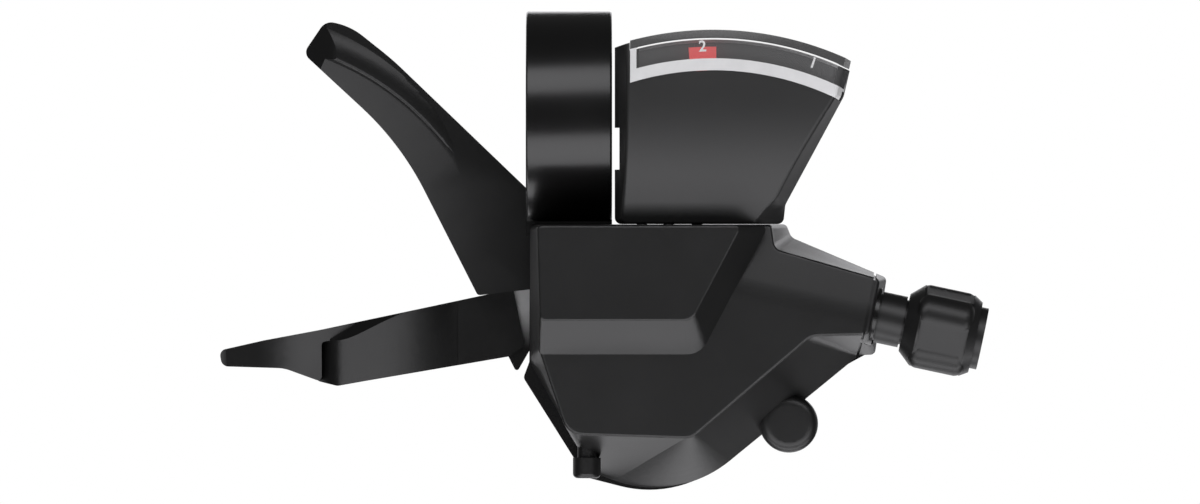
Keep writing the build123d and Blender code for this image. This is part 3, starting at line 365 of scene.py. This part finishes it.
def printed_dial(name):
    """Dark grey print with a bright line at the rim."""
    finish, place = new_finish(name)
    speckle = finish.noise(place, scale=2500.0, detail=2.0)
    body = finish.greys(speckle, darkest=0.075, lightest=0.105)
    rim_line = grey(0.55)
    at_rim = pivot_radius(finish, place) > DIAL_RIM_RADIUS
    return finish.surface({
        "Base Color": finish.mix(at_rim, body, rim_line),
        "Roughness": rise(speckle, lowest=0.45, added=0.15)})


def mottled(finish, place, colour):
    """Mottle pattern, and a colour that it darkens a little."""
    mottle = finish.noise(place, scale=900.0)
    darkest = tuple(part * 0.86 for part in colour[:3]) + (1.0,)
    return mottle, finish.mix(mottle, darkest, colour)


def print_with_painted_light(name, colour, painted_emission):
    """Printed colour that glows with painted light, so that it stays bright behind the lens."""
    finish, place = new_finish(name)
    mottle, tone = mottled(finish, place, colour)
    return finish.surface({
        "Base Color": tone,
        "Roughness": rise(mottle, lowest=0.4, added=0.1),
        # The emission is painted light, not a lamp
        "Emission Color": tone,
        "Emission Strength": painted_emission})


def needle_with_painted_light(name, colour, painted_emission):
    """Black needle whose red tip, far from its pivot, glows with painted light, as if lit inside the lens.
    """
    finish, place = new_finish(name)
    mottle, tone = mottled(finish, place, colour)
    tip = pivot_radius(finish, place) > NEEDLE_TIP_RADIUS
    black, dark = grey(0.008), grey(0.0)
    return finish.surface({
        "Base Color": finish.mix(tip, black, tone),
        "Roughness": rise(mottle, lowest=0.3, added=0.1),
        # The tip's emission is painted light, not a lamp
        "Emission Color": finish.mix(tip, dark, tone),
        "Emission Strength": painted_emission})


COVER = moulded_plastic("satin_cover_plastic", shade=0.006, roughness=0.37)
HOUSING = moulded_plastic("satin_display_plastic", shade=0.014, roughness=0.45)
LEVER = moulded_plastic("satin_lever_plastic", shade=0.004, roughness=0.34, gloss=1.42)
KNOB = moulded_plastic("satin_knob_plastic", shade=0.005, roughness=0.42)
PLUG = moulded_plastic("plug_plastic", shade=0.005, roughness=0.35)
PAINT = painted_metal("black_bracket_paint", shade=0.0045, roughness=0.24)
BLACK_STEEL = painted_metal("black_oxide_steel", shade=0.012, roughness=0.34)
STEEL = drawn_steel("zinc_plated_steel", shade=0.62, roughness=0.30)
PLATE_STEEL = steel_with_painted_shade("plate_steel_painted_shade", shade=0.75, roughness=0.22)
SPRING_STEEL = drawn_steel("spring_wire", shade=0.42, roughness=0.32)
ALUMINIUM = drawn_steel("turned_aluminium", shade=0.7, roughness=0.34)
SPOOL_PLASTIC = moulded_plastic("pale_spool_plastic", shade=0.55, roughness=0.45)
LENS = window_lens("clear_window_lens")
DIAL = printed_dial("dark_dial_print")
# Painted light: the needle's red tip glows
MARKER = needle_with_painted_light("red_needle_tip_painted_light", colour=(0.86, 0.075, 0.075, 1.0), painted_emission=0.6)
# Painted light: the white numerals glow
NUMERALS = print_with_painted_light("white_numeral_print_painted_light", colour=grey(0.9), painted_emission=0.35)

FINISHES = {
    "clamp_bracket": PAINT, "clamp_bolt": BLACK_STEEL, "top_cover": COVER, "cable_hole_plug": PLUG,
    "cover_screws": STEEL, "display_housing": HOUSING, "display_screws": STEEL, "display_lens": LENS,
    "dial_plate": DIAL, "needle_clip": STEEL, "indicator_needle": MARKER, "cable_spool": SPOOL_PLASTIC,
    "ratchet_plate": STEEL, "spool_axle": STEEL, "spool_washer": STEEL, "spool_spring": SPRING_STEEL,
    "lever_axle": STEEL, "feed_crank": STEEL, "feed_rivet": STEEL, "feed_pawl": STEEL,
    "thumb_spring": SPRING_STEEL, "thumb_plate": PLATE_STEEL, "thumb_cover": LEVER, "release_lever": LEVER,
    "release_spring": SPRING_STEEL, "lever_washer": STEEL, "lever_nut": STEEL, "stop_pawl": STEEL,
    "stop_pawl_pin": STEEL, "stop_pawl_spring": SPRING_STEEL, "adjuster_knob": KNOB,
    "adjuster_bolt": ALUMINIUM, "adjuster_sleeve": KNOB, "adjuster_spring": SPRING_STEEL,
}

body_of_node = {node: body for body, nodes in frame["record"]["behaviour"]["bodies"].items()
                for node in nodes}


def place_on_body(piece, body):
    """Hands a finished piece to its body."""
    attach(piece, body)


def new_piece(name, mesh, finish):
    """Object at the origin that shows a mesh in one finish."""
    mesh.materials.clear()
    mesh.materials.append(finish)
    piece = bpy.data.objects.new(name, mesh)
    bpy.context.scene.collection.objects.link(piece)
    return piece


def shown_mesh(maker):
    """Plain mesh of what an object shows, in place of the object."""
    bpy.context.scene.collection.objects.link(maker)
    graph = bpy.context.evaluated_depsgraph_get()
    mesh = bpy.data.meshes.new_from_object(maker.evaluated_get(graph))
    maker.modifiers.clear()
    bpy.data.objects.remove(maker)
    return mesh


def mesh_values(items, field, kind=float):
    """One number of every corner, face or other item of a mesh."""
    values = np.empty(len(items), dtype=kind)
    items.foreach_get(field, values)
    return values


def soft_normals(mesh, angle):
    """Corner normals weighted by face area, so that flat faces stay flat beside their small fillets."""
    face_normal = np.empty(len(mesh.polygons) * 3)
    mesh.polygons.foreach_get("normal", face_normal)
    face_area = mesh_values(mesh.polygons, "area")
    sides = mesh_values(mesh.polygons, "loop_total", np.int32)
    corner_vertex = mesh_values(mesh.loops, "vertex_index", np.int32)
    corner_face = np.repeat(np.arange(len(mesh.polygons)), sides)
    own = face_normal.reshape(-1, 3)[corner_face]
    weighted = own * face_area[corner_face][:, None]
    order = np.argsort(corner_vertex, kind="stable")
    first = np.searchsorted(corner_vertex[order], np.arange(len(mesh.vertices) + 1))
    start = first[corner_vertex]
    stop = first[corner_vertex + 1]
    limit = math.cos(math.radians(angle))
    total = np.zeros_like(own)
    for step in range(int((stop - start).max())):
        live = np.nonzero(start + step < stop)[0]
        partner = order[start[live] + step]
        near = (own[live] * own[partner]).sum(axis=1) >= limit
        total[live[near]] += weighted[partner[near]]
    total /= np.maximum(np.linalg.norm(total, axis=1), SHORTEST_NORMAL)[:, None]
    mesh.normals_split_custom_set([tuple(normal) for normal in total])


def ease_edges(work, width):
    """Rounds the sharp edges of a merged solid by a small radius."""
    bmesh.ops.dissolve_limit(work, angle_limit=FLAT_ANGLE, verts=work.verts, edges=work.edges)
    sharp = [edge for edge in work.edges if edge.is_manifold and edge.calc_face_angle() > EASED_ANGLE]
    bmesh.ops.bevel(work, geom=sharp, offset=width, offset_type="OFFSET", segments=3, profile=0.5,
                    affect="EDGES", clamp_overlap=True)
    bmesh.ops.triangulate(work, faces=work.faces)


def smooth_skin(node, angle):
    """Merged copy of a solid with soft shading over its round faces, in place of the faceted one."""
    mesh = frame["nodes"][node].data.copy()
    work = bmesh.new()
    work.from_mesh(mesh)
    bmesh.ops.remove_doubles(work, verts=work.verts, dist=MERGE_DISTANCE)
    if node in EASED_EDGES:
        ease_edges(work, EASED_EDGES[node] * MM)
    for face in work.faces:
        face.smooth = True
    work.to_mesh(mesh)
    work.free()
    soft_normals(mesh, angle)
    piece = new_piece(node + "_skin", mesh, FINISHES[node])
    place_on_body(piece, body_of_node[node])
    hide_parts(node)


for node in frame["nodes"]:
    smooth_skin(node, SOFT_ANGLES.get(node, SOFT_ANGLE))


class NodeRecipe:
    """A Geometry Nodes tree with named size inputs, for one finish."""

    def __init__(self, name, finish, sizes):
        self.finish = finish
        self.tree = bpy.data.node_groups.new(name, "GeometryNodeTree")
        sockets = self.tree.interface
        sockets.new_socket("Geometry", in_out="INPUT", socket_type="NodeSocketGeometry")
        for label, value in sizes.items():
            kind = "NodeSocketInt" if isinstance(value, int) else "NodeSocketFloat"
            sockets.new_socket(label, in_out="INPUT", socket_type=kind).default_value = value
        sockets.new_socket("Geometry", in_out="OUTPUT", socket_type="NodeSocketGeometry")
        self.inputs = self.tree.nodes.new("NodeGroupInput")
        self.outputs = self.tree.nodes.new("NodeGroupOutput")

    def size(self, label):
        """Socket of one named size."""
        return self.inputs.outputs[label]

    def add(self, kind, sockets):
        """Adds one node and gives its first output."""
        return add_node(self.tree, kind, sockets=sockets).outputs[0]

    def close(self, geometry):
        """Ends the tree with real geometry in its finish."""
        real = self.add("GeometryNodeRealizeInstances", {0: geometry})
        dressed = self.add("GeometryNodeSetMaterial", {0: real, "Material": self.finish})
        self.tree.links.new(dressed, self.outputs.inputs[0])

    def bake(self, name, placement):
        """Plain mesh piece made by the tree, moved to its place."""
        carrier = bpy.data.objects.new(name + "_carrier", bpy.data.meshes.new(name + "_carrier"))
        carrier.modifiers.new("recipe", "NODES").node_group = self.tree
        mesh = shown_mesh(carrier)
        mesh.transform(placement)
        work = bmesh.new()
        work.from_mesh(mesh)
        bmesh.ops.recalc_face_normals(work, faces=work.faces)
        work.to_mesh(mesh)
        work.free()
        return new_piece(name, mesh, self.finish)


def thread_ridge(name, finish, radius, length, pitch, ridge):
    """Helical thread ridge about Z, from 0 up to its length, with sizes in millimetres."""
    recipe = NodeRecipe(name + "_recipe", finish, {
        "Turns": length / pitch, "Radius": radius * MM, "Length": length * MM, "Ridge": ridge * MM})
    spiral = recipe.add("GeometryNodeCurveSpiral", {
        "Resolution": TURN_STEPS, "Rotations": recipe.size("Turns"), "Start Radius": recipe.size("Radius"),
        "End Radius": recipe.size("Radius"), "Height": recipe.size("Length")})
    section = recipe.add("GeometryNodeCurvePrimitiveCircle", {
        "Resolution": RIDGE_SIDES, "Radius": recipe.size("Ridge")})
    recipe.close(recipe.add("GeometryNodeCurveToMesh", {
        "Curve": spiral, "Profile Curve": section, "Fill Caps": True}))
    return recipe


def knurl_ring(name, finish, radius, count, rib_radius, height):
    """Ring of upright ribs about Z, half above and half below 0, with sizes in millimetres."""
    recipe = NodeRecipe(name + "_recipe", finish, {
        "Ribs": count, "Radius": radius * MM, "Width": rib_radius * MM, "Height": height * MM})
    circle = recipe.add("GeometryNodeMeshCircle", {
        "Vertices": recipe.size("Ribs"), "Radius": recipe.size("Radius")})
    rib = recipe.add("GeometryNodeMeshCylinder", {
        "Vertices": RIB_SIDES, "Radius": recipe.size("Width"), "Depth": recipe.size("Height")})
    recipe.close(recipe.add("GeometryNodeInstanceOnPoints", {"Points": circle, "Instance": rib}))
    return recipe


def shift(x, y, z):
    """Move to a place given in millimetres."""
    return Matrix.Translation(Vector((x, y, z)) * MM)


# Clamp bolt: knurled head and the thread that shows below the lugs
knurl_low = BOLT_HEAD_LOW + KNURL_COLLAR_LOW
knurl_high = BOLT_HEAD_TOP - KNURL_COLLAR_TOP
knurl = knurl_ring("bolt_knurl", BLACK_STEEL, KNURL_RADIUS, KNURL_RIBS, KNURL_RIB_RADIUS,
                   knurl_high - knurl_low)
knurl_middle = shift(0, BOLT_DEPTH, (knurl_low + knurl_high) / 2)
place_on_body(knurl.bake("clamp_bolt_knurl", knurl_middle), "bracket")
thread = thread_ridge("bolt_thread", BLACK_STEEL, BOLT_THREAD_RADIUS, BOLT_THREAD_LENGTH,
                      BOLT_THREAD_PITCH, BOLT_THREAD_RIDGE)
thread_low = shift(0, BOLT_DEPTH, BOLT_END + BOLT_THREAD_MARGIN)
place_on_body(thread.bake("clamp_bolt_thread", thread_low), "bracket")

# Lever axle: the thread that shows behind the nut
axle_thread = thread_ridge("axle_thread", STEEL, AXLE_THREAD_RADIUS,
                           LEVER_AXLE_BACK - NUT_BACK - 2 * AXLE_THREAD_MARGIN,
                           AXLE_THREAD_PITCH, AXLE_THREAD_RIDGE)
lie_down = Matrix.Rotation(math.radians(90), 4, "X")
axle_back = shift(LEVER_PIVOT[0], LEVER_AXLE_BACK - AXLE_THREAD_MARGIN, LEVER_PIVOT[1])
place_on_body(axle_thread.bake("lever_axle_thread", axle_back @ lie_down), "thumb_lever")


def numeral(text, angle):
    """One white numeral printed behind the lens at an angle clockwise from straight up."""
    curve = bpy.data.curves.new("numeral_" + text, "FONT")
    curve.body = text
    curve.size = NUMERAL_HEIGHT * MM * NUMERAL_FONT_SCALE
    curve.align_x = "CENTER"
    curve.align_y = "CENTER"
    curve.extrude = NUMERAL_THICKNESS * MM
    curve.offset = NUMERAL_BOLDNESS * MM
    curve.resolution_u = 6
    mesh = shown_mesh(bpy.data.objects.new("numeral_" + text, curve))
    turn = math.radians(angle)
    spot = shift(NEEDLE_PIVOT[0] + NUMERAL_RADIUS * math.sin(turn), NUMERAL_DEPTH,
                 NEEDLE_PIVOT[1] + NUMERAL_RADIUS * math.cos(turn))
    mesh.transform(spot @ Matrix.Rotation(turn, 4, "Y") @ lie_down)
    place_on_body(new_piece("numeral_" + text, mesh, NUMERALS), "bracket")


for text, angle in NUMERAL_ANGLES.items():
    numeral(text, angle)


def soft_box(name, centre, width, height, radiance):
    """Rectangular soft light of a given brightness, aimed at the part."""
    lamp = bpy.data.lights.new(name, "AREA")
    lamp.shape = "RECTANGLE"
    lamp.size = width
    lamp.size_y = height
    lamp.energy = radiance * math.pi * width * height
    lamp.color = COOL_WHITE
    light = bpy.data.objects.new(name, lamp)
    light.location = centre
    light.rotation_euler = (Vector(LIGHT_TARGET) - Vector(centre)).to_track_quat("-Z", "Y").to_euler()
    light.visible_camera = False
    bpy.context.scene.collection.objects.link(light)


for name, (centre, width, height, radiance) in SOFT_BOXES.items():
    soft_box(name, centre, width, height, radiance)


def pale_floor():
    """Wide pale floor well below the part, which is held up by its clamp."""
    mesh = bpy.data.meshes.new("pale_floor")
    corners = [(-1, -1), (1, -1), (1, 1), (-1, 1)]
    mesh.from_pydata([(x * FLOOR_HALF, y * FLOOR_HALF, FLOOR_LEVEL) for x, y in corners], [], [(0, 1, 2, 3)])
    finish, place = new_finish("pale_floor_paint")
    cloud = finish.noise(place, scale=6.0, detail=2.0)
    pale = finish.greys(cloud, darkest=0.86, lightest=0.9)
    paint = finish.surface({
        "Base Color": finish.mix(finish.ray("Is Glossy Ray"), pale, grey(FLOOR_MIRRORED)),
        "Roughness": 0.8,
        "Emission Strength": FLOOR_GLOW,
        "Emission Color": finish.greys(finish.ray("Is Camera Ray"), darkest=0.0, lightest=1.0)})
    new_piece("pale_floor", mesh, paint)


pale_floor()

# White backdrop, seen directly and through the lens
world = bpy.data.worlds.new("white_studio")
bpy.context.scene.world = world
studio = Finish(world)
seen = studio.ray("Is Camera Ray") | studio.ray("Is Transmission Ray")
strength = seen | (studio.ray("Is Glossy Ray") * ROOM_MIRRORED) | ROOM_SCATTERED
backdrop = studio.add("ShaderNodeBackground", sockets={"Color": grey(1.0), "Strength": strength})
studio.add("ShaderNodeOutputWorld", sockets={0: backdrop})

camera = bpy.data.objects.new("camera", bpy.data.cameras.new("camera"))
camera.data.sensor_width = SENSOR_WIDTH
camera.data.lens = SENSOR_WIDTH * CAMERA_DISTANCE / (IMAGE_WIDTH_MM * MM)
camera.data.clip_end = CAMERA_REACH
camera.location = (IMAGE_CENTRE[0] * MM, CAMERA_PLANE * MM - CAMERA_DISTANCE, IMAGE_CENTRE[1] * MM)
camera.rotation_euler = (math.radians(90), 0, 0)
bpy.context.scene.collection.objects.link(camera)
bpy.context.scene.camera = camera
bpy.context.scene.view_settings.view_transform = "Standard"
